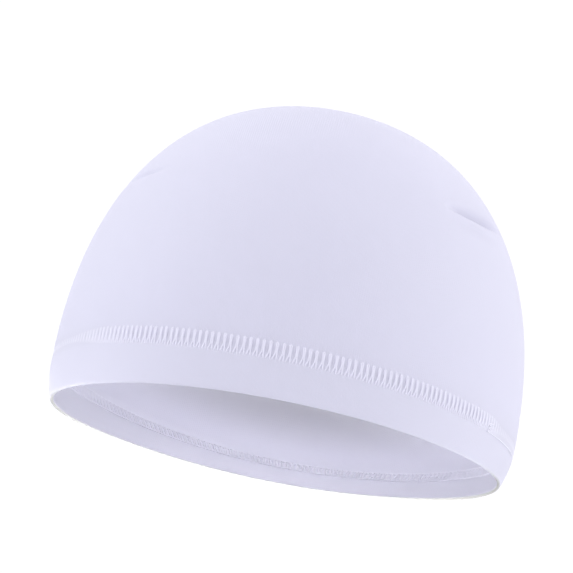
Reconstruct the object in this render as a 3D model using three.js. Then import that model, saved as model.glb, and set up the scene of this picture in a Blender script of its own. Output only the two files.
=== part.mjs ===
// Helmet liner cap: a close skull cap of thin stretch jersey, in the shape it takes when worn.
// Millimetres. +Z is up, the forehead is towards -Y and the wearer's left is towards +X.
// The origin is the centre of the head opening, level with the rim.

import * as THREE from 'three';

// Overall form, in millimetres
const HALF_WIDTH = 80;
const FRONT_REACH = 94;
const BACK_REACH = 103;
const HEIGHT = 118;

// How the outline changes round the head. widestAt is a share of HEIGHT, drawIn is the share of
// the reach that the rim draws in below the widest line, and roundness is the dome's exponent:
// 2 is an ellipse, and more is a squarer shoulder.
const QUARTERS = {
  front: { widestAt: 0.15, drawIn: 0.03, roundness: 2.04 },
  side: { widestAt: 0.13, drawIn: 0.048, roundness: 2.32 },
  back: { widestAt: 0.32, drawIn: 0.29, roundness: 2.05 },
};
const DIAGONAL_DRAW = 0.016; // share of the plan radius lost halfway between side and front or back
const LOWER_LEVELS = 0.2; // share of the level parameter that lies below the widest line

// Cloth
const CLOTH = 1.0; // one layer
const CLEARANCE = 0.3; // between layers, and along the joint

// Hem: a folded band, joined edge to edge to the crown in the middle of the seam
const HEM_HEIGHT = 17.9; // rim to the top of the seam, along the cloth
const HEM_DRIFT = 1.2; // how much lower the hem runs on the wearer's left, and higher on the right
const SEAM_WIDTH = 5.8;

// Darts: one horizontal tuck in each side of the crown. The angles are in degrees round the
// head from the wearer's left (0), with the forehead at -90 and the wearer's right at -180.
// Each dart opens at its tip, is deepest from deepFrom to deepTo, and closes at its tail.
const DART_DEPTH = 2.6;
const DART_WIDTH = 5;
const DART_RISE = 0.455; // share of the way up the cloth from the joint to the apex
const DART_SLANT = 0.015; // added to that share on the wearer's left, taken off it on the right
const DARTS = [
  { tip: -53, deepFrom: -39, deepTo: -33, tail: -2, depth: 1.0 },
  { tip: -138, deepFrom: -150, deepTo: -153, tail: -178, depth: 0.5 },
];
const DART_UPPER = 1.1; // how far the hollow spreads above its line, in dart widths
const DART_LOWER = 0.5; // and below it
const LIP = { below: 1.7, spread: 1.1, height: 0.28 }; // swelling under the dart, in widths and depths

// Mesh
const AROUND = 64;
const RINGS_BELOW = 8;
const RINGS_ABOVE = 9;
const DART_RINGS = [-2.6, -1.9, -1.2, -0.7, -0.3, 0, 0.3, 0.7, 1.2, 1.9, 2.6]; // in dart widths
const HEM_SHARES = [1, 2 / 3, 1 / 3, 0]; // stations on each layer of the hem, from the joint to the fold
const FOLD_STEPS = 4;
const MERIDIAN_STEPS = 240;
const NUDGE = 1e-4; // step of the finite differences, in radians and levels

// A value that follows the front, side and back ones smoothly round the head.
function blendAround(front, side, back, angle) {
  const s = Math.sin(angle);
  return side + ((back - front) / 2) * s + ((back + front) / 2 - side) * s * s;
}

function quarterValue(column, angle) {
  return blendAround(QUARTERS.front[column], QUARTERS.side[column], QUARTERS.back[column], angle);
}

// Plan radius at the widest line.
function planRadius(angle) {
  const depth = blendAround(FRONT_REACH, (FRONT_REACH + BACK_REACH) / 2, BACK_REACH, angle);
  const ellipse = 1 / Math.hypot(Math.cos(angle) / HALF_WIDTH, Math.sin(angle) / depth);
  return ellipse * (1 - DIAGONAL_DRAW * Math.sin(2 * angle) ** 2);
}

// The cap's outer form without its darts. level runs from 0 at the rim to 1 at the apex.
function formPoint(angle, level) {
  const widest = HEIGHT * quarterValue('widestAt', angle);
  let height;
  let share;
  if (level < LOWER_LEVELS) {
    const up = level / LOWER_LEVELS;
    height = widest * up;
    share = 1 - quarterValue('drawIn', angle) * (1 - up) ** 2;
  } else {
    const turn = ((level - LOWER_LEVELS) / (1 - LOWER_LEVELS)) * (Math.PI / 2);
    const power = 2 / quarterValue('roundness', angle);
    height = widest + (HEIGHT - widest) * Math.sin(turn) ** power;
    share = Math.max(Math.cos(turn), 0) ** power;
  }
  const radius = planRadius(angle) * share;
  return new THREE.Vector3(radius * Math.cos(angle), radius * Math.sin(angle), height);
}

// Outward normal of a surface given as a function of angle and level.
function surfaceNormal(surface, angle, level) {
  const high = Math.min(level + NUDGE, 1);
  const around = surface(angle + NUDGE, level).sub(surface(angle - NUDGE, level));
  const upward = surface(angle, high).sub(surface(angle, level - NUDGE));
  return around.cross(upward).normalize();
}

// A table of lengths up the cloth from the rim at one angle, and the level each length reaches.
function meridian(angle) {
  const lengths = [0];
  let last = formPoint(angle, 0);
  for (let i = 1; i <= MERIDIAN_STEPS; i += 1) {
    const next = formPoint(angle, i / MERIDIAN_STEPS);
    lengths.push(lengths[i - 1] + next.distanceTo(last));
    last = next;
  }
  const total = lengths[MERIDIAN_STEPS];
  const levelAt = (length) => {
    let i = 1;
    while (i < MERIDIAN_STEPS && lengths[i] < length) i += 1;
    return (i - 1 + (length - lengths[i - 1]) / (lengths[i] - lengths[i - 1])) / MERIDIAN_STEPS;
  };
  return { lengths, total, levelAt };
}

// Height of the hem's seam and of the joint line inside it, up the cloth from the rim.
function hemTop(angle) {
  return HEM_HEIGHT - HEM_DRIFT * Math.cos(angle);
}

function jointLine(angle) {
  return hemTop(angle) - SEAM_WIDTH / 2;
}

// Length up the cloth at which the darts' line runs.
function dartLine(angle, total) {
  const joint = jointLine(angle);
  return joint + (DART_RISE + DART_SLANT * Math.cos(angle)) * (total - joint);
}

// How open the darts are at an angle, from 0 outside them to their depth share.
function dartOpening(angle) {
  const degrees = THREE.MathUtils.radToDeg(angle);
  let opening = 0;
  for (const dart of DARTS) {
    const turns = Math.round(((dart.tip + dart.tail) / 2 - degrees) / 360);
    const sense = Math.sign(dart.tail - dart.tip);
    const along = (degrees + 360 * turns - dart.tip) * sense;
    const length = (dart.tail - dart.tip) * sense;
    const rise = THREE.MathUtils.smoothstep(along, 0, (dart.deepFrom - dart.tip) * sense);
    const fall = THREE.MathUtils.smoothstep(along, (dart.deepTo - dart.tip) * sense, length);
    opening += dart.depth * rise * (1 - fall);
  }
  return opening;
}

// How far the cloth stands out of the form across a dart, at a distance above its line.
function dartRelief(above) {
  const across = above / DART_WIDTH;
  const spread = across > 0 ? DART_UPPER : DART_LOWER;
  const hollow = Math.exp(-((across / spread) ** 2));
  const swell = LIP.height * Math.exp(-(((across + LIP.below) / LIP.spread) ** 2));
  return DART_DEPTH * (swell - hollow);
}

// The crown's outer surface: the form with the darts pressed into it.
function crownPoint(angle, level) {
  const { lengths, total } = meridian(angle);
  const step = level * MERIDIAN_STEPS;
  const low = Math.min(Math.floor(step), MERIDIAN_STEPS - 1);
  const length = lengths[low] + (step - low) * (lengths[low + 1] - lengths[low]);
  const relief = dartOpening(angle) * dartRelief(length - dartLine(angle, total));
  return formPoint(angle, level).addScaledVector(surfaceNormal(formPoint, angle, level), relief);
}

// A closed body from rings of points, each ring running counterclockwise seen from above, and
// each next one further down the outside. With caps, single points close the first and last ring.
function ringBody(rings, caps) {
  const positions = [];
  const triangles = [];
  const place = (point) => positions.push(point.x, point.y, point.z) / 3 - 1;
  const ids = rings.map((ring) => ring.map(place));
  const bands = caps ? rings.length - 1 : rings.length;
  for (let r = 0; r < bands; r += 1) {
    const upper = ids[r];
    const lower = ids[(r + 1) % rings.length];
    for (let i = 0; i < AROUND; i += 1) {
      const j = (i + 1) % AROUND;
      triangles.push(upper[i], lower[i], lower[j]);
      triangles.push(upper[i], lower[j], upper[j]);
    }
  }
  if (caps) {
    const first = ids[0];
    const last = ids[rings.length - 1];
    const start = place(caps.first);
    const end = place(caps.last);
    for (let i = 0; i < AROUND; i += 1) {
      const j = (i + 1) % AROUND;
      triangles.push(start, first[i], first[j]);
      triangles.push(end, last[j], last[i]);
    }
  }
  const geometry = new THREE.BufferGeometry();
  geometry.setAttribute('position', new THREE.Float32BufferAttribute(positions, 3));
  geometry.setIndex(triangles);
  geometry.computeVertexNormals();
  return geometry;
}

function angles() {
  return Array.from({ length: AROUND }, (_, i) => (i / AROUND) * 2 * Math.PI);
}

// Lengths up the cloth of the crown's rings at one angle, from its lower edge to under the apex.
function crownLengths(angle, total) {
  const top = hemTop(angle);
  const line = dartLine(angle, total);
  const low = line + DART_RINGS[0] * DART_WIDTH;
  const high = line + DART_RINGS[DART_RINGS.length - 1] * DART_WIDTH;
  const lengths = [jointLine(angle) + CLEARANCE];
  for (let i = 0; i < RINGS_BELOW; i += 1) {
    lengths.push(top + ((low - top) * i) / RINGS_BELOW);
  }
  for (const across of DART_RINGS) {
    lengths.push(line + across * DART_WIDTH);
  }
  for (let i = 1; i < RINGS_ABOVE; i += 1) {
    lengths.push(high + ((total - high) * i) / RINGS_ABOVE);
  }
  return lengths;
}

// The crown: one layer of cloth, open below.
function crownGeometry() {
  const outer = [];
  const inner = [];
  for (const angle of angles()) {
    const { total, levelAt } = meridian(angle);
    crownLengths(angle, total).forEach((length, ring) => {
      const level = levelAt(length);
      const point = crownPoint(angle, level);
      const normal = surfaceNormal(crownPoint, angle, level);
      outer[ring] = [...(outer[ring] ?? []), point];
      inner[ring] = [...(inner[ring] ?? []), point.clone().addScaledVector(normal, -CLOTH)];
    });
  }
  const apex = new THREE.Vector3(0, 0, HEIGHT);
  const innerApex = new THREE.Vector3(0, 0, HEIGHT - CLOTH);
  return ringBody([...outer.reverse(), ...inner], { first: apex, last: innerApex });
}

// The hem's section at one angle, as pairs of depth into the cloth and length up from the rim.
// It runs down the outer layer, round the fold, up the inner layer, and back down and up the
// slot between the two. The inner layer stands behind the crown's lower edge.
function hemSection(angle) {
  const joint = jointLine(angle);
  const top = hemTop(angle);
  const slotBack = CLOTH + CLEARANCE;
  const thickness = slotBack + CLOTH;
  const fold = thickness / 2;
  const down = (depth) => HEM_SHARES.map((share) => [depth, fold + share * (joint - fold)]);
  const foldTurns = Array.from({ length: FOLD_STEPS - 1 }, (_, i) => ((i + 1) / FOLD_STEPS) * Math.PI);
  const underside = foldTurns.map((turn) => [fold - fold * Math.cos(turn), fold - fold * Math.sin(turn)]);
  return [
    ...down(0),
    ...underside,
    ...down(thickness).reverse(),
    [thickness, top],
    [slotBack, top],
    ...down(slotBack),
    ...down(CLOTH).reverse(),
  ];
}

// The hem band: two layers of cloth with a fold at the rim.
function hemGeometry() {
  const rings = [];
  for (const angle of angles()) {
    const { levelAt } = meridian(angle);
    hemSection(angle).forEach(([depth, length], ring) => {
      const level = levelAt(length);
      const point = formPoint(angle, level);
      const normal = surfaceNormal(formPoint, angle, Math.max(level, NUDGE));
      rings[ring] = [...(rings[ring] ?? []), point.addScaledVector(normal, -depth)];
    });
  }
  return ringBody(rings, null);
}

function jersey(color) {
  return new THREE.MeshStandardMaterial({ color, roughness: 0.85, metalness: 0 });
}

function namedMesh(name, geometry, material) {
  const mesh = new THREE.Mesh(geometry, material);
  mesh.name = name;
  return mesh;
}

const cap = new THREE.Group();
cap.add(namedMesh('crown', crownGeometry(), jersey(0xe3e3f5)));
cap.add(namedMesh('hem_band', hemGeometry(), jersey(0xe8e7f7)));

export default cap;
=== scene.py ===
import math

import bpy
import numpy as np
from mathutils import Matrix, Vector


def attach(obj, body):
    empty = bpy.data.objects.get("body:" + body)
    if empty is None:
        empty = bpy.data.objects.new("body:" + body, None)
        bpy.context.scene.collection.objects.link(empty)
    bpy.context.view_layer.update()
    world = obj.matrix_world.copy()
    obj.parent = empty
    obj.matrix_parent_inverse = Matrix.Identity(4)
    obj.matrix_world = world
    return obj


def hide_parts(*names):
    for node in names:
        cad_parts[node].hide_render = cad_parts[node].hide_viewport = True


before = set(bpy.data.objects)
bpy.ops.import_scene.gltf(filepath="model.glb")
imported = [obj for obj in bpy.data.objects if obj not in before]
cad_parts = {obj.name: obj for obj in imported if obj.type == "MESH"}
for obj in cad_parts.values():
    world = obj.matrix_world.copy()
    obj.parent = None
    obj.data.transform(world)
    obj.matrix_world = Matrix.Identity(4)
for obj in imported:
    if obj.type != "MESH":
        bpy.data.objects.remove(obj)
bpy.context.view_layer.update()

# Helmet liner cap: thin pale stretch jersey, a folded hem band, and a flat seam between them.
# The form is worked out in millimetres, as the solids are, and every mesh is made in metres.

MM = 0.001

# Overall form, in millimetres
HALF_WIDTH = 80
FRONT_REACH = 94
BACK_REACH = 103
HEIGHT = 118

# Front, side and back values: widest line as a share of the height, how far the rim draws in
# below it, and the dome's exponent, where 2 is an ellipse
WIDEST_AT = (0.15, 0.13, 0.32)
DRAW_IN = (0.03, 0.048, 0.29)
ROUNDNESS = (2.04, 2.32, 2.05)

# The share by which the plan is drawn in on its diagonals, and the share of the levels that lie
# below the widest line
DIAGONAL_DRAW = 0.016
LOWER_LEVELS = 0.2

# Steps for measuring lengths up the form and for finding its normals
MERIDIAN_STEPS = 240
NUDGE = 1e-4
TINY = 1e-12

# Cloth and hem, in millimetres
CROWN_CLOTH = 0.8
HEM_THICKNESS = 1.3
HEM_HEIGHT = 17.9
HEM_DRIFT = 1.2
SEAM_WIDTH = 5.8
JOINT_GROOVE = 0.12
JOINT_SPREAD = 2.2
EDGE_ROW = 0.1

# Painted shade in the cloth's colour: full on the hem's fold at the back, and a share of it
# elsewhere. It fades between two distances up the cloth from the joint, beside the seam between
# two shares of the seam's width, and along the fold between two values of the sine of the angle.
FULL_PAINTED_SHADE = (0.36, 0.36, 0.303)
SHADE_FROM = 10
SHADE_TO = 38
SEAM_FADE_FROM = 0.35
SEAM_FADE_TO = 0.55
FOLD_FROM = -0.7
FOLD_TO = -0.15
# Shares of the painted shade: deep inside the crown, where little light reaches, on the hem's inside,
# on the crown's inside near the hem, outside near the hem, and a painted shadow between the outer
# stitches.
DEEP_INSIDE_SHARE = 0.531
HEM_INSIDE_SHARE = 0.180
CROWN_INSIDE_SHARE = 0.080
OUTSIDE_SHARE = 0.048
SEAM_SHARE = 0.027

# Darts, in millimetres, shares of the way up the crown, and degrees round the head from the
# wearer's left
DART_DEPTH = 5.4
DART_WIDTH = 3.4
DART_RISE = 0.448
DART_SLANT = 0.0205
DART_CLIMB = 0.0275
CLIMB_FROM = -40
CLIMB_TO = -12
CLIMB_ENDS_FROM = 10
CLIMB_ENDS_TO = 40
DARTS = (
    {"tip": -54.5, "deep_from": -38, "deep_to": -32, "tail": -12, "depth": 1.0},
    {"tip": -134, "deep_from": -146, "deep_to": -152, "tail": -172, "depth": 0.24},
)
DART_REACH = 11

# A dart's section, in its own widths and depths: how narrow it starts, how far the hollow spreads
# above and below its line, and the lip under it
DART_NARROW = 0.35
DART_UPPER = 0.85
DART_LOWER = 0.32
LIP_BELOW = 1.2
LIP_SPREAD = 0.9
LIP_HEIGHT = 0.2

# Mesh fineness
CROWN_AROUND = 288
RINGS_BELOW = 42
RINGS_AT_DARTS = 64
RINGS_ABOVE = 48
HEM_AROUND = 400
HEM_RINGS = 16
FOLD_STEPS = 8

# The cloth's map for its knit, in millimetres: an arc across the form that ends just beyond it,
# and an arc over it from front to back about a line below the rim
MAP_HALF_WIDTH = 82.4
MAP_RADIUS = 100
MAP_CENTRE_BELOW = 20
MM_PER_CM = 10

# Seam stitches. A thread's section turns outwards from the form's axis, mostly in plan.
STITCHES = 250
THREAD = 0.33
INNER_THREAD = 0.31
TUBE_SIDES = 6
TUBE_OUTWARDS = (1, 1, 0.2)
SEAM_SAMPLES = 1441
SEAM_SEED = 7

# Colours of the cloth and the thread, and the share of light that comes through the cloth
CROWN_LIGHT = (0.882, 0.876, 0.958)
CROWN_DARK = (0.848, 0.841, 0.928)
# The hem's jersey is the crown's made a little lighter: painted light that brightens the hem.
HEM_LIGHT = (0.898, 0.892, 0.972)
HEM_DARK = (0.866, 0.860, 0.943)
THREAD_LIGHT = (0.900, 0.892, 0.965)
THREAD_DARK = (0.840, 0.832, 0.910)
THROUGH = 0.2

# Surfaces of the cloth and the thread. SCALEs are per metre and DEPTHs in metres.
JERSEY_ROUGHNESS = 0.86
JERSEY_SPECULAR = 0.25
JERSEY_SHEEN = 0.15
SHEEN_ROUGHNESS = 0.5
CLOUD_SCALE = 22
CLOUD_DETAIL = 4
FUZZ_SCALE = 900
FUZZ_DETAIL = 3
WALES_PER_CM = 13.5
COURSES_PER_CM = 17
KNIT_LEGS = 0.5
KNIT_STRENGTH = 0.35
KNIT_DEPTH = 0.00005
THREAD_ROUGHNESS = 0.6
THREAD_SHEEN = 0.2
FIBRE_SCALE = 2600
FIBRE_DETAIL = 2
FIBRE_STRENGTH = 0.4
FIBRE_DEPTH = 0.00006

# Sockets of a Mix node for colours
MIX_FACTOR = 0
MIX_A = 6
MIX_B = 7
MIX_RESULT = 2

# Camera, matched to the photograph. Its frame is 573 pixels wide and high.
PICTURE = 573
FOCAL_PIXELS = 3211
SENSOR = 36
CAMERA_DISTANCE = 1.1
LOOK_UP = math.radians(12.36)
LOOK_ROUND = math.radians(2.36)
ROLL = math.radians(11.16)
TARGET = Vector((0, 0, 0.050))
AIM_RIGHT = -0.00676
AIM_UP = 0.00651
CLIP_START = 0.01

# Floor
FLOOR_HEIGHT = -0.35
FLOOR_REACH = 3.0
FLOOR_PAINT = (0.74, 0.74, 0.76)
FLOOR_ROUGHNESS = 0.9

# Tones of the room by place, from 0 in front of the cap to 1 behind it
ROOM_TONES = (
    (0.05, (0.72, 0.72, 0.81)),
    (0.65, (0.93, 0.93, 1.0)),
    (0.9, (0.82, 0.82, 0.84)),
)
ROOM_STRENGTH = 1.265

# Lights, in metres and watts. Left and right are those of the picture. The one below reaches
# the inside of the far wall through the head opening.
SIDE_SIZE = 0.8
LEFT_PLACE = (-1.4, 0.2, 0.2)
LEFT_POWER = 2.5
LEFT_TINT = (0.9, 0.95, 1.0)
RIGHT_PLACE = (1.4, 0.3, 0.2)
RIGHT_POWER = 3.2
HIGH_PLACE = (-0.8, -1.0, 0.9)
HIGH_SIZE = 0.6
HIGH_POWER = 0.7
BELOW_PLACE = (-0.02, -0.03, -0.2)
BELOW_AIM = (-0.01, 0.09, 0.03)
BELOW_SIZE = 0.12
BELOW_POWER = 0.42
BELOW_SPREAD = math.radians(64)


# The form

def blend_around(column, angle):
    """A value that follows the front, side and back ones smoothly round the head."""
    front, side, back = column
    s = np.sin(angle)
    return side + (back - front) / 2 * s + ((back + front) / 2 - side) * s * s


def plan_radius(angle):
    depth = blend_around((FRONT_REACH, (FRONT_REACH + BACK_REACH) / 2, BACK_REACH), angle)
    ellipse = 1 / np.hypot(np.cos(angle) / HALF_WIDTH, np.sin(angle) / depth)
    return ellipse * (1 - DIAGONAL_DRAW * np.sin(2 * angle) ** 2)


def form_point(angle, level):
    """Points of the form without its darts. level runs from 0 at the rim to 1 at the apex."""
    widest = HEIGHT * blend_around(WIDEST_AT, angle)
    up = np.clip(level / LOWER_LEVELS, None, 1)
    turn = np.clip((level - LOWER_LEVELS) / (1 - LOWER_LEVELS), 0, 1) * math.pi / 2
    power = 2 / blend_around(ROUNDNESS, angle)
    below = level < LOWER_LEVELS
    dome = widest + (HEIGHT - widest) * np.sin(turn) ** power
    height = np.where(below, widest * up, dome)
    drawn = 1 - blend_around(DRAW_IN, angle) * (1 - up) ** 2
    share = np.where(below, drawn, np.clip(np.cos(turn), 0, None) ** power)
    radius = plan_radius(angle) * share
    return np.stack([radius * np.cos(angle), radius * np.sin(angle), height], axis=-1)


def form_normal(angle, level):
    high = np.minimum(level + NUDGE, 1)
    around = form_point(angle + NUDGE, level) - form_point(angle - NUDGE, level)
    upward = form_point(angle, high) - form_point(angle, level - NUDGE)
    normal = np.cross(around, upward)
    return normal / np.maximum(np.linalg.norm(normal, axis=-1, keepdims=True), TINY)


def meridians(angle):
    """Lengths up the cloth from the rim to each of a row of levels, one row for each angle."""
    levels = np.linspace(0, 1, MERIDIAN_STEPS + 1)
    points = form_point(angle[:, None], levels[None, :])
    steps = np.linalg.norm(np.diff(points, axis=1), axis=-1)
    start = np.zeros((len(angle), 1))
    return levels, np.concatenate([start, np.cumsum(steps, axis=1)], axis=1)


def levels_at(angle, lengths):
    """The levels that lengths up the cloth reach. lengths has one row for each angle."""
    levels, table = meridians(angle)
    return np.array([np.interp(row, known, levels) for row, known in zip(lengths, table)])


def hem_top(angle):
    return HEM_HEIGHT - HEM_DRIFT * np.cos(angle)


def joint_line(angle):
    return hem_top(angle) - SEAM_WIDTH / 2


def smooth_step(value, low, high):
    t = np.clip((value - low) / (high - low), 0, 1)
    return t * t * (3 - 2 * t)


def dart_opening(angle):
    """How open the darts are at an angle, from 0 outside them to their depth share."""
    degrees = np.degrees(angle)
    opening = np.zeros_like(degrees)
    for dart in DARTS:
        middle = (dart["tip"] + dart["tail"]) / 2
        turns = np.round((middle - degrees) / 360)
        sense = np.sign(dart["tail"] - dart["tip"])
        along = (degrees + 360 * turns - dart["tip"]) * sense
        deep_from = (dart["deep_from"] - dart["tip"]) * sense
        deep_to = (dart["deep_to"] - dart["tip"]) * sense
        tail = (dart["tail"] - dart["tip"]) * sense
        rise = smooth_step(along, 0, deep_from)
        fall = smooth_step(along, deep_to, tail)
        opening += dart["depth"] * rise * (1 - fall)
    return opening


def dart_line(angle, joint, total):
    """Length up the cloth of the darts' line. On the wearer's left it climbs from the tip."""
    degrees = np.degrees(angle)
    degrees = np.where(degrees > 180, degrees - 360, degrees)
    climb = DART_CLIMB * smooth_step(degrees, CLIMB_FROM, CLIMB_TO)
    climb = climb * (1 - smooth_step(degrees, CLIMB_ENDS_FROM, CLIMB_ENDS_TO))
    return joint + (DART_RISE + DART_SLANT * np.cos(angle) + climb) * (total - joint)


def dart_relief(above, opening):
    """How far the cloth stands out of the form at a distance above the dart's line."""
    across = above / DART_WIDTH
    width = DART_NARROW + (1 - DART_NARROW) * opening
    spread = np.where(across > 0, DART_UPPER * width, DART_LOWER)
    hollow = np.exp(-((across / spread) ** 2))
    swell = LIP_HEIGHT * np.exp(-(((across + LIP_BELOW) / LIP_SPREAD) ** 2))
    return DART_DEPTH * opening * (swell - hollow)


def beside_seam(from_joint):
    """0 between the seam's stitches and 1 away from them."""
    across = np.abs(from_joint) / SEAM_WIDTH
    return smooth_step(across, SEAM_FADE_FROM, SEAM_FADE_TO)


def outside_shade(from_joint):
    """The share of painted shade outside the cap, by distance up from the joint: near the hem and
    between stitches.
    """
    near_hem = 1 - smooth_step(from_joint, SHADE_FROM, SHADE_TO)
    return OUTSIDE_SHARE * near_hem + SEAM_SHARE * (1 - beside_seam(from_joint))


def inside_shade(from_joint):
    """The share of painted shade inside the cap, most deep in the crown and none between the needle
    lines.
    """
    share = np.where(from_joint < 0, HEM_INSIDE_SHARE, CROWN_INSIDE_SHARE)
    deep = smooth_step(from_joint, SHADE_FROM, SHADE_TO)
    return share * beside_seam(from_joint) * (1 - deep) + DEEP_INSIDE_SHARE * deep


def seam_relief(from_joint):
    """The shallow groove that the stitches pull into the cloth along the joint."""
    return -JOINT_GROOVE * np.exp(-((from_joint / JOINT_SPREAD) ** 2))


# Meshes

def mesh_piece(name, points, faces, material, cloth_map=None, shade=None):
    """A smooth piece from points in millimetres, which rides on the one body."""
    mesh = bpy.data.meshes.new(name)
    mesh.from_pydata((points * MM).tolist(), [], faces)
    mesh.update()
    mesh.polygons.foreach_set("use_smooth", [True] * len(mesh.polygons))
    if cloth_map is not None:
        layer = mesh.uv_layers.new(name="ClothMap")
        corners = np.empty(len(mesh.loops), dtype=np.int32)
        mesh.loops.foreach_get("vertex_index", corners)
        layer.data.foreach_set("uv", cloth_map[corners].astype(np.float32).ravel())
    # The share of painted shade at each point, which the material uses to darken the colour.
    if shade is not None:
        layer = mesh.attributes.new("PaintedClothShade", "FLOAT", "POINT")
        layer.data.foreach_set("value", shade.astype(np.float32))
    mesh.materials.append(material)
    piece = bpy.data.objects.new(name, mesh)
    bpy.context.scene.collection.objects.link(piece)
    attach(piece, "root")
    return piece


def ring_faces(rows, around, closed=False):
    """Quads between rows of points. Each row is closed on itself, and closed joins last to first."""
    faces = []
    for r in range(rows if closed else rows - 1):
        low = r * around
        high = (r + 1) % rows * around
        for i in range(around):
            j = (i + 1) % around
            faces.append((low + i, low + j, high + j, high + i))
    return faces


def cloth_coordinates(points):
    """Where each point lies on the uncurled cloth, in centimetres: across the wales and along them."""
    across = HALF_WIDTH * np.arcsin(np.clip(points[:, 0] / MAP_HALF_WIDTH, -1, 1))
    along = MAP_RADIUS * np.arctan2(points[:, 1], points[:, 2] + MAP_CENTRE_BELOW)
    return np.stack([across, along], axis=-1) / MM_PER_CM


def crown_rows(angle):
    """The crown's outer points from its lower edge to just under the apex, the way out of the
    cloth at each, and the length up to each from the joint."""
    _, table = meridians(angle)
    total = table[:, -1]
    joint = joint_line(angle)
    line = dart_line(angle, joint, total)
    stops = [joint, joint + EDGE_ROW, line - DART_REACH, line + DART_REACH, total]
    counts = (1, RINGS_BELOW, RINGS_AT_DARTS, RINGS_ABOVE)
    parts = []
    for low, high, count in zip(stops, stops[1:], counts):
        shares = np.arange(count) / count
        parts.append(low[:, None] + shares[None, :] * (high - low)[:, None])
    lengths = np.concatenate(parts, axis=1)
    level = levels_at(angle, lengths)
    relief = dart_relief(lengths - line[:, None], dart_opening(angle)[:, None])
    relief = relief + seam_relief(lengths - joint[:, None])
    base = form_point(angle[:, None], level)
    normal = form_normal(angle[:, None], level)
    return base + normal * relief[..., None], normal, lengths - joint[:, None]


def crown_thickness(from_joint):
    """The crown is as thick as the hem at the joint, and thins to one layer above the seam."""
    thinned = smooth_step(from_joint, SEAM_WIDTH / 2, SEAM_WIDTH)
    return HEM_THICKNESS + (CROWN_CLOTH - HEM_THICKNESS) * thinned


def make_crown(material):
    angle = np.arange(CROWN_AROUND) * 2 * math.pi / CROWN_AROUND
    outer, normal, above = crown_rows(angle)
    inner = outer - crown_thickness(above)[..., None] * normal
    # Painted shade for each point: the inside shares on the inner face, the outside ones on the outer
    # face.
    shade = np.concatenate([inside_shade(above)[:, ::-1], outside_shade(above)], axis=1).T.ravel()
    shade = np.concatenate([shade, [DEEP_INSIDE_SHARE, 0]])
    rows = np.concatenate([inner[:, ::-1], outer], axis=1).transpose(1, 0, 2)
    points = rows.reshape(-1, 3)
    count = rows.shape[0]
    faces = ring_faces(count, CROWN_AROUND)
    inner_apex = len(points)
    outer_apex = inner_apex + 1
    apexes = np.array([[0, 0, HEIGHT - CROWN_CLOTH], [0, 0, HEIGHT]])
    points = np.concatenate([points, apexes])
    last = (count - 1) * CROWN_AROUND
    for i in range(CROWN_AROUND):
        j = (i + 1) % CROWN_AROUND
        faces.append((inner_apex, j, i))
        faces.append((outer_apex, last + i, last + j))
    crown = mesh_piece("crown_cloth", points, faces, material, cloth_coordinates(points), shade)
    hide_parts("crown")
    return crown


def hem_section(joint):
    """Pairs of depth into the cloth and length up from the rim: down, round the fold, and up."""
    fold = HEM_THICKNESS / 2
    shares = np.linspace(1, 0, HEM_RINGS)
    down = [(0, fold + s * (joint - EDGE_ROW - fold)) for s in shares]
    turns = np.linspace(0, math.pi, FOLD_STEPS + 1)[1:-1]
    round_fold = [(fold - fold * math.cos(t), fold - fold * math.sin(t)) for t in turns]
    up = [(HEM_THICKNESS, length) for _, length in reversed(down)]
    return down + round_fold + up + [(HEM_THICKNESS, joint), (0, joint)]


def make_hem(material):
    angle = np.arange(HEM_AROUND) * 2 * math.pi / HEM_AROUND
    joint = joint_line(angle)
    sections = np.array([hem_section(length) for length in joint])
    depth = sections[..., 0]
    lengths = sections[..., 1]
    level = levels_at(angle, lengths)
    groove = seam_relief(lengths - joint[:, None]) * (depth == 0)
    normal = form_normal(angle[:, None], np.maximum(level, NUDGE))
    points = form_point(angle[:, None], level) + normal * (groove - depth)[..., None]
    rows = points.transpose(1, 0, 2)
    faces = [tuple(reversed(face)) for face in ring_faces(rows.shape[0], HEM_AROUND, closed=True)]
    flat = rows.reshape(-1, 3)
    # Painted shade for each point: the outside share on the hem's outer face, the inside one on its
    # inner face.
    inwards = depth / HEM_THICKNESS
    below = lengths - joint[:, None]
    shade = outside_shade(below) * (1 - inwards) + inside_shade(below) * inwards
    # Full painted shade round the fold at the sides and back, which the light from below lights too
    # brightly; the front of the fold is left light.
    down_fold = np.clip(1 - lengths / (HEM_THICKNESS / 2), 0, 1)
    at_back = smooth_step(np.sin(angle), FOLD_FROM, FOLD_TO)
    shade = np.maximum(shade, at_back[:, None] * down_fold)
    hem = mesh_piece("hem_cloth", flat, faces, material, cloth_coordinates(flat), shade.T.ravel())
    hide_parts("hem_band")
    return hem


# Thread

def seam_places():
    """Angles of the stitches, evenly spaced along the seam, and its millimetres per radian."""
    fine = np.linspace(0, 2 * math.pi, SEAM_SAMPLES)
    level = levels_at(fine, joint_line(fine)[:, None])
    points = form_point(fine[:, None], level)[:, 0]
    lengths = np.concatenate([[0], np.cumsum(np.linalg.norm(np.diff(points, axis=0), axis=1))])
    pitch = lengths[-1] / STITCHES
    places = np.interp(np.arange(STITCHES) * pitch, lengths, fine)
    speed = np.interp(places, fine, np.gradient(lengths, fine))
    return places, speed


def on_cloth(angle, length, height):
    """Points at a height above the form, given angles and lengths up the cloth."""
    level = levels_at(angle, length[:, None])[:, 0]
    normal = form_normal(angle, np.maximum(level, NUDGE))
    return form_point(angle, level) + normal * height[:, None]


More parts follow.
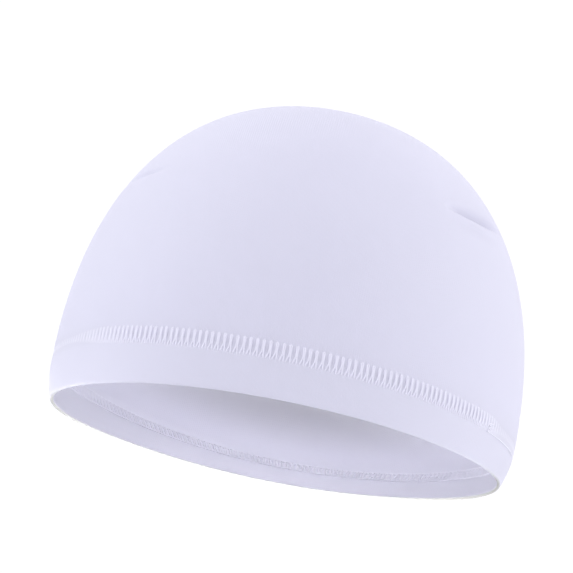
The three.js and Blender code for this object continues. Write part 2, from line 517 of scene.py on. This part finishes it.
def tube(path, radius, closed=False):
    """Points and faces of a round thread along a path, its section turned to face outwards."""
    ahead = np.roll(path, -1, axis=0) - np.roll(path, 1, axis=0)
    if not closed:
        ahead[0] = path[1] - path[0]
        ahead[-1] = path[-1] - path[-2]
    ahead /= np.linalg.norm(ahead, axis=1, keepdims=True)
    side = np.cross(ahead, path * np.array(TUBE_OUTWARDS))
    side /= np.linalg.norm(side, axis=1, keepdims=True)
    over = np.cross(ahead, side)
    turn = np.arange(TUBE_SIDES) * 2 * math.pi / TUBE_SIDES
    sideways = np.cos(turn)[None, :, None] * side[:, None]
    upwards = np.sin(turn)[None, :, None] * over[:, None]
    points = (path[:, None] + radius * (sideways + upwards)).reshape(-1, 3)
    faces = ring_faces(len(path), TUBE_SIDES, closed)
    if not closed:
        faces.append(tuple(reversed(range(TUBE_SIDES))))
        faces.append(tuple(range(len(points) - TUBE_SIDES, len(points))))
    return points, faces


def join_tubes(name, tubes, material):
    points = []
    faces = []
    start = 0
    for tube_points, tube_faces in tubes:
        points.append(tube_points)
        faces.extend(tuple(start + i for i in face) for face in tube_faces)
        start += len(tube_points)
    piece = mesh_piece(name, np.concatenate(points), faces, material)
    return piece


# One outer stitch: a loop over the top with two legs that spread towards the bottom edge. Each
# row is along the seam, up from its lower edge, and height above the cloth, in millimetres.
OUTER_STITCH = np.array([
    (-0.64, -0.05, -0.25),
    (-0.62, 0.25, 0.02),
    (-0.54, 0.80, 0.08),
    (-0.38, 1.40, 0.11),
    (-0.24, 2.10, 0.14),
    (-0.19, 3.20, 0.16),
    (-0.22, 4.30, 0.14),
    (-0.28, 5.00, 0.10),
    (-0.26, 5.40, 0.06),
    (0.00, 5.65, 0.02),
    (0.26, 5.40, 0.06),
    (0.28, 5.00, 0.10),
    (0.22, 4.30, 0.14),
    (0.19, 3.20, 0.16),
    (0.24, 2.10, 0.14),
    (0.38, 1.40, 0.11),
    (0.54, 0.80, 0.08),
    (0.62, 0.25, 0.02),
    (0.64, -0.05, -0.25),
])
STITCH_LEAN = 0.12
STITCH_BOW = 0.2
STITCH_UNEVEN = 0.07
SPREAD_UNEVEN = 0.08
HEIGHT_UNEVEN = 0.05
STITCH_SINK = 0.12
SIDE_SINK = 0.4

# Where the stitches sink deeper at the sides, in degrees: from, fully from, fully to, and to
SINK_WEARER_LEFT = (-42, -24, 5, 30)
SINK_WEARER_RIGHT = (-210, -185, -150, -118)


def between(value, limits):
    """A value's share of a stretch that fades in and out between four limits."""
    start, full_from, full_to, end = limits
    return smooth_step(value, start, full_from) * (1 - smooth_step(value, full_to, end))


def stitch_sink(angle):
    """How deep the stitches lie in the cloth, in millimetres. They are pulled in at the sides."""
    degrees = np.degrees(angle)
    degrees = np.where(degrees > 90, degrees - 360, degrees)
    at_side = between(degrees, SINK_WEARER_LEFT) + between(degrees, SINK_WEARER_RIGHT)
    return STITCH_SINK + SIDE_SINK * at_side


def make_ladder(material):
    """The ladder of stitches outside the cap."""
    rng = np.random.default_rng(SEAM_SEED)
    places, speed = seam_places()
    tubes = []
    for place, rate in zip(places, speed):
        along, up, height = OUTER_STITCH.T
        share = np.clip(up / SEAM_WIDTH, 0, 1)
        shift = rng.normal(0, STITCH_UNEVEN)
        spread = 1 + rng.normal(0, SPREAD_UNEVEN)
        lean = STITCH_LEAN * (share - 0.5) + STITCH_BOW * np.sin(math.pi * share)
        angle = place + (along * spread + lean + shift) / rate
        length = hem_top(angle) - SEAM_WIDTH + up + rng.normal(0, HEIGHT_UNEVEN)
        tubes.append(tube(on_cloth(angle, length, height - stitch_sink(angle)), THREAD))
    return join_tubes("seam_ladder", tubes, material)


# One inner stitch: a rectangular loop between the two needle lines.
INNER_STITCH = np.array([
    (-0.66, 0.6, 0.02),
    (-0.68, 1.4, 0.08),
    (-0.66, 2.6, 0.10),
    (-0.64, 3.8, 0.08),
    (-0.50, 4.5, 0.04),
    (0.0, 4.7, 0.02),
    (0.50, 4.5, 0.04),
    (0.64, 3.8, 0.08),
    (0.66, 2.6, 0.10),
    (0.68, 1.4, 0.08),
    (0.66, 0.6, 0.02),
    (0.0, 0.4, 0.02),
])
INNER_LEAN = 0.12
INNER_MIDDLE = 2.5
INNER_START = 0.4

# The needle lines, as shares of the seam's width up from its lower edge, in millimetres otherwise
NEEDLE_LINES = (0.12, 0.92)
NEEDLE_WAVE = 0.05
NEEDLE_HEIGHT = 0.08
NEEDLE_STEPS = 3


def make_inner_loops(material):
    """The loops and needle lines inside the cap."""
    rng = np.random.default_rng(SEAM_SEED + 1)
    places, speed = seam_places()
    tubes = []
    for place, rate in zip(places, speed):
        along, up, height = INNER_STITCH.T
        shift = rng.normal(0, STITCH_UNEVEN)
        angle = place + (along + shift + INNER_LEAN * (up - INNER_MIDDLE)) / rate
        length = hem_top(angle) - SEAM_WIDTH + INNER_START + up
        path = on_cloth(angle, length, -HEM_THICKNESS - height)
        tubes.append(tube(path, INNER_THREAD, closed=True))
    steps = STITCHES * NEEDLE_STEPS
    for share in NEEDLE_LINES:
        angle = np.arange(steps) * 2 * math.pi / steps
        wave = NEEDLE_WAVE * np.sin(angle * STITCHES)
        length = hem_top(angle) - SEAM_WIDTH * (1 - share) + wave
        path = on_cloth(angle, length, np.full_like(angle, -HEM_THICKNESS - NEEDLE_HEIGHT))
        tubes.append(tube(path, INNER_THREAD, closed=True))
    return join_tubes("seam_inner_loops", tubes, material)


# The small bar of stitches that closes the seam on the wearer's left, and the thread end that runs
# from it along the seam's lower edge. The two BULKs are shares of the ladder's thread.
BARTACK_ANGLE = -34.5
BARTACK_STROKES = 3
BARTACK_WIDTH = 3.4
BARTACK_START = 0.3
BARTACK_STEP = 1.15
BARTACK_RISE = 0.5
BARTACK_HEIGHT = 0.1
BARTACK_UNEVEN = 0.03
BARTACK_POINTS = 48
BARTACK_BULK = 0.7
THREAD_END_TO = -8
THREAD_END_UP = 0.1
THREAD_END_HEIGHT = 0.05
THREAD_END_POINTS = 40
THREAD_END_BULK = 0.8


def bartack_path(start):
    """Three slanting strokes, one above the other, in one thread."""
    rng = np.random.default_rng(SEAM_SEED + 2)
    corners = []
    for k in range(BARTACK_STROKES):
        low = BARTACK_START + k * BARTACK_STEP
        corners.append((0, low))
        corners.append((BARTACK_WIDTH, low + BARTACK_RISE))
    corners = np.array(corners)
    steps = np.linspace(0, len(corners) - 1, BARTACK_POINTS)
    along = np.interp(steps, np.arange(len(corners)), corners[:, 0])
    up = np.interp(steps, np.arange(len(corners)), corners[:, 1])
    up = up + rng.normal(0, BARTACK_UNEVEN, BARTACK_POINTS)
    angle = start + along / HALF_WIDTH
    length = hem_top(angle) - SEAM_WIDTH + up
    return on_cloth(angle, length, np.full_like(angle, BARTACK_HEIGHT))


def thread_end_path(start):
    angle = np.linspace(start, math.radians(THREAD_END_TO), THREAD_END_POINTS)
    length = hem_top(angle) - SEAM_WIDTH + THREAD_END_UP
    return on_cloth(angle, length, np.full_like(angle, THREAD_END_HEIGHT))


def make_bartack(material):
    start = math.radians(BARTACK_ANGLE)
    bar = tube(bartack_path(start), THREAD * BARTACK_BULK)
    end = tube(thread_end_path(start), THREAD * THREAD_END_BULK)
    return join_tubes("seam_bartack", [bar, end], material)


# Materials

def node(tree, kind, **values):
    made = tree.nodes.new(kind)
    for name, value in values.items():
        setattr(made, name, value)
    return made


def math_node(tree, operation, first, second=None):
    made = node(tree, "ShaderNodeMath", operation=operation)
    for socket, value in zip(made.inputs, (first, second)):
        if value is None:
            continue
        if isinstance(value, (int, float)):
            socket.default_value = value
        else:
            tree.links.new(value, socket)
    return made.outputs[0]


def noise(tree, scale, detail):
    """A noise over the piece's own coordinates."""
    place = node(tree, "ShaderNodeTexCoord")
    made = node(tree, "ShaderNodeTexNoise")
    made.inputs["Scale"].default_value = scale
    made.inputs["Detail"].default_value = detail
    tree.links.new(place.outputs["Object"], made.inputs["Vector"])
    return made.outputs["Fac"]


def two_tones(tree, share, dark, light):
    """A colour between a dark and a light one."""
    tone = node(tree, "ShaderNodeMix", data_type="RGBA")
    tone.inputs[MIX_A].default_value = (*dark, 1)
    tone.inputs[MIX_B].default_value = (*light, 1)
    tree.links.new(share, tone.inputs[MIX_FACTOR])
    return tone.outputs[MIX_RESULT]


def add_painted_shade(tree, colour):
    """The colour darkened by the share of painted shade that is stored on the mesh."""
    shade = node(tree, "ShaderNodeAttribute", attribute_name="PaintedClothShade")
    shaded = node(tree, "ShaderNodeMix", data_type="RGBA", blend_type="MULTIPLY")
    shaded.inputs[MIX_B].default_value = (*FULL_PAINTED_SHADE, 1)
    tree.links.new(shade.outputs["Fac"], shaded.inputs[MIX_FACTOR])
    tree.links.new(colour, shaded.inputs[MIX_A])
    return shaded.outputs[MIX_RESULT]


def add_relief(tree, height, strength, depth):
    bump = node(tree, "ShaderNodeBump")
    bump.inputs["Strength"].default_value = strength
    bump.inputs["Distance"].default_value = depth
    tree.links.new(height, bump.inputs["Height"])
    tree.links.new(bump.outputs["Normal"], tree.nodes["Principled BSDF"].inputs["Normal"])


def knit_height(tree):
    """The height of fine jersey: columns of small V stitches."""
    place = node(tree, "ShaderNodeUVMap", uv_map="ClothMap")
    split = node(tree, "ShaderNodeSeparateXYZ")
    tree.links.new(place.outputs["UV"], split.inputs[0])
    wales = math_node(tree, "MULTIPLY", split.outputs["X"], WALES_PER_CM)
    from_middle = math_node(tree, "SUBTRACT", math_node(tree, "FRACT", wales), 0.5)
    within = math_node(tree, "ABSOLUTE", from_middle)
    courses = math_node(tree, "MULTIPLY", split.outputs["Y"], COURSES_PER_CM)
    slanted = math_node(tree, "ADD", courses, within)
    legs = math_node(tree, "SINE", math_node(tree, "MULTIPLY", slanted, 2 * math.pi))
    columns = math_node(tree, "COSINE", math_node(tree, "MULTIPLY", within, 2 * math.pi))
    return math_node(tree, "ADD", columns, math_node(tree, "MULTIPLY", legs, KNIT_LEGS))


def jersey(name, light, dark):
    """Fine matt stretch jersey, thin enough to let some light through, with a knit relief and painted
    shade.
    """
    material = bpy.data.materials.new(name)
    material.use_nodes = True
    tree = material.node_tree
    shader = tree.nodes["Principled BSDF"]
    shader.inputs["Roughness"].default_value = JERSEY_ROUGHNESS
    shader.inputs["Specular IOR Level"].default_value = JERSEY_SPECULAR
    shader.inputs["Sheen Weight"].default_value = JERSEY_SHEEN
    shader.inputs["Sheen Roughness"].default_value = SHEEN_ROUGHNESS
    tone = two_tones(tree, noise(tree, CLOUD_SCALE, CLOUD_DETAIL), dark, light)
    shaded = add_painted_shade(tree, tone)
    tree.links.new(shaded, shader.inputs["Base Color"])
    height = math_node(tree, "ADD", knit_height(tree), noise(tree, FUZZ_SCALE, FUZZ_DETAIL))
    add_relief(tree, height, KNIT_STRENGTH, KNIT_DEPTH)
    let_light_through(tree, shaded, THROUGH)
    return material


def let_light_through(tree, colour, share):
    """Turn a share of the Principled shader into light that comes through from behind."""
    through = node(tree, "ShaderNodeBsdfTranslucent")
    tree.links.new(colour, through.inputs["Color"])
    both = node(tree, "ShaderNodeMixShader")
    both.inputs[0].default_value = share
    tree.links.new(tree.nodes["Principled BSDF"].outputs[0], both.inputs[1])
    tree.links.new(through.outputs[0], both.inputs[2])
    tree.links.new(both.outputs[0], tree.nodes["Material Output"].inputs["Surface"])


def sewing_thread(name, light, dark):
    """Textured thread with fine fibres."""
    material = bpy.data.materials.new(name)
    material.use_nodes = True
    tree = material.node_tree
    shader = tree.nodes["Principled BSDF"]
    shader.inputs["Roughness"].default_value = THREAD_ROUGHNESS
    shader.inputs["Sheen Weight"].default_value = THREAD_SHEEN
    fibres = noise(tree, FIBRE_SCALE, FIBRE_DETAIL)
    tree.links.new(two_tones(tree, fibres, dark, light), shader.inputs["Base Color"])
    add_relief(tree, fibres, FIBRE_STRENGTH, FIBRE_DEPTH)
    return material


# Stage

def make_floor():
    material = bpy.data.materials.new("floor_paint")
    material.use_nodes = True
    shader = material.node_tree.nodes["Principled BSDF"]
    shader.inputs["Base Color"].default_value = (*FLOOR_PAINT, 1)
    shader.inputs["Roughness"].default_value = FLOOR_ROUGHNESS
    mesh = bpy.data.meshes.new("floor")
    reach = FLOOR_REACH
    corners = [(-reach, -reach, 0), (reach, -reach, 0), (reach, reach, 0), (-reach, reach, 0)]
    mesh.from_pydata(corners, [], [(0, 1, 2, 3)])
    mesh.materials.append(material)
    floor = bpy.data.objects.new("floor", mesh)
    floor.location.z = FLOOR_HEIGHT
    bpy.context.scene.collection.objects.link(floor)


def area_light(name, place, size, power, colour=(1, 1, 1), aim=TARGET):
    data = bpy.data.lights.new(name, "AREA")
    data.size = size
    data.energy = power
    data.color = colour
    light = bpy.data.objects.new(name, data)
    light.location = place
    light.rotation_mode = "QUATERNION"
    light.rotation_quaternion = (Vector(aim) - Vector(place)).to_track_quat("-Z", "Y")
    bpy.context.scene.collection.objects.link(light)
    return light


def make_world():
    """A white studio, dimmer in front of the cap than beside it, and plain white behind it."""
    world = bpy.data.worlds.new("studio")
    world.use_nodes = True
    tree = world.node_tree
    place = node(tree, "ShaderNodeTexCoord")
    split = node(tree, "ShaderNodeSeparateXYZ")
    tree.links.new(place.outputs["Generated"], split.inputs[0])
    backward = node(tree, "ShaderNodeMapRange")
    backward.inputs["From Min"].default_value = -1
    backward.inputs["From Max"].default_value = 1
    tree.links.new(split.outputs["Y"], backward.inputs["Value"])
    ramp = node(tree, "ShaderNodeValToRGB")
    tree.links.new(backward.outputs["Result"], ramp.inputs["Fac"])
    ramp.color_ramp.interpolation = "EASE"
    stops = ramp.color_ramp.elements
    stops.new(ROOM_TONES[1][0])
    for stop, (place_on_ramp, tone) in zip(stops, ROOM_TONES):
        stop.position = place_on_ramp
        stop.color = (*tone, 1)
    background = tree.nodes["Background"]
    tree.links.new(ramp.outputs["Color"], background.inputs["Color"])
    background.inputs["Strength"].default_value = ROOM_STRENGTH
    bpy.context.scene.world = world


def make_lights():
    area_light("left", LEFT_PLACE, SIDE_SIZE, LEFT_POWER, LEFT_TINT)
    area_light("right", RIGHT_PLACE, SIDE_SIZE, RIGHT_POWER)
    area_light("high_left", HIGH_PLACE, HIGH_SIZE, HIGH_POWER)
    below = area_light("below", BELOW_PLACE, BELOW_SIZE, BELOW_POWER, aim=BELOW_AIM)
    below.data.spread = BELOW_SPREAD


def make_camera():
    """A camera low in front, looking up a little and rolled, as in the photograph."""
    ahead = Vector((
        -math.sin(LOOK_ROUND) * math.cos(LOOK_UP),
        math.cos(LOOK_ROUND) * math.cos(LOOK_UP),
        math.sin(LOOK_UP),
    ))
    right = Vector((math.cos(LOOK_ROUND), math.sin(LOOK_ROUND), 0))
    up = right.cross(ahead)
    place = TARGET - ahead * CAMERA_DISTANCE
    ahead = (TARGET + right * AIM_RIGHT + up * AIM_UP - place).normalized()
    right = (right - ahead * right.dot(ahead)).normalized()
    up = right.cross(ahead)
    camera_right = right * math.cos(ROLL) + up * math.sin(ROLL)
    camera_up = up * math.cos(ROLL) - right * math.sin(ROLL)
    data = bpy.data.cameras.new("camera")
    data.sensor_width = SENSOR
    data.lens = FOCAL_PIXELS / PICTURE * SENSOR
    data.clip_start = CLIP_START
    camera = bpy.data.objects.new("camera", data)
    turn = Matrix((camera_right, camera_up, -ahead)).transposed()
    camera.matrix_world = Matrix.Translation(place) @ turn.to_4x4()
    bpy.context.scene.collection.objects.link(camera)
    bpy.context.scene.camera = camera


make_camera()
make_world()
make_lights()
make_floor()
bpy.context.scene.view_settings.view_transform = "Standard"

crown_jersey = jersey("crown_jersey", CROWN_LIGHT, CROWN_DARK)
hem_jersey = jersey("hem_jersey", HEM_LIGHT, HEM_DARK)
seam_thread = sewing_thread("seam_thread", THREAD_LIGHT, THREAD_DARK)

crown = make_crown(crown_jersey)
hem = make_hem(hem_jersey)
make_ladder(seam_thread)
make_inner_loops(seam_thread)
make_bartack(seam_thread)
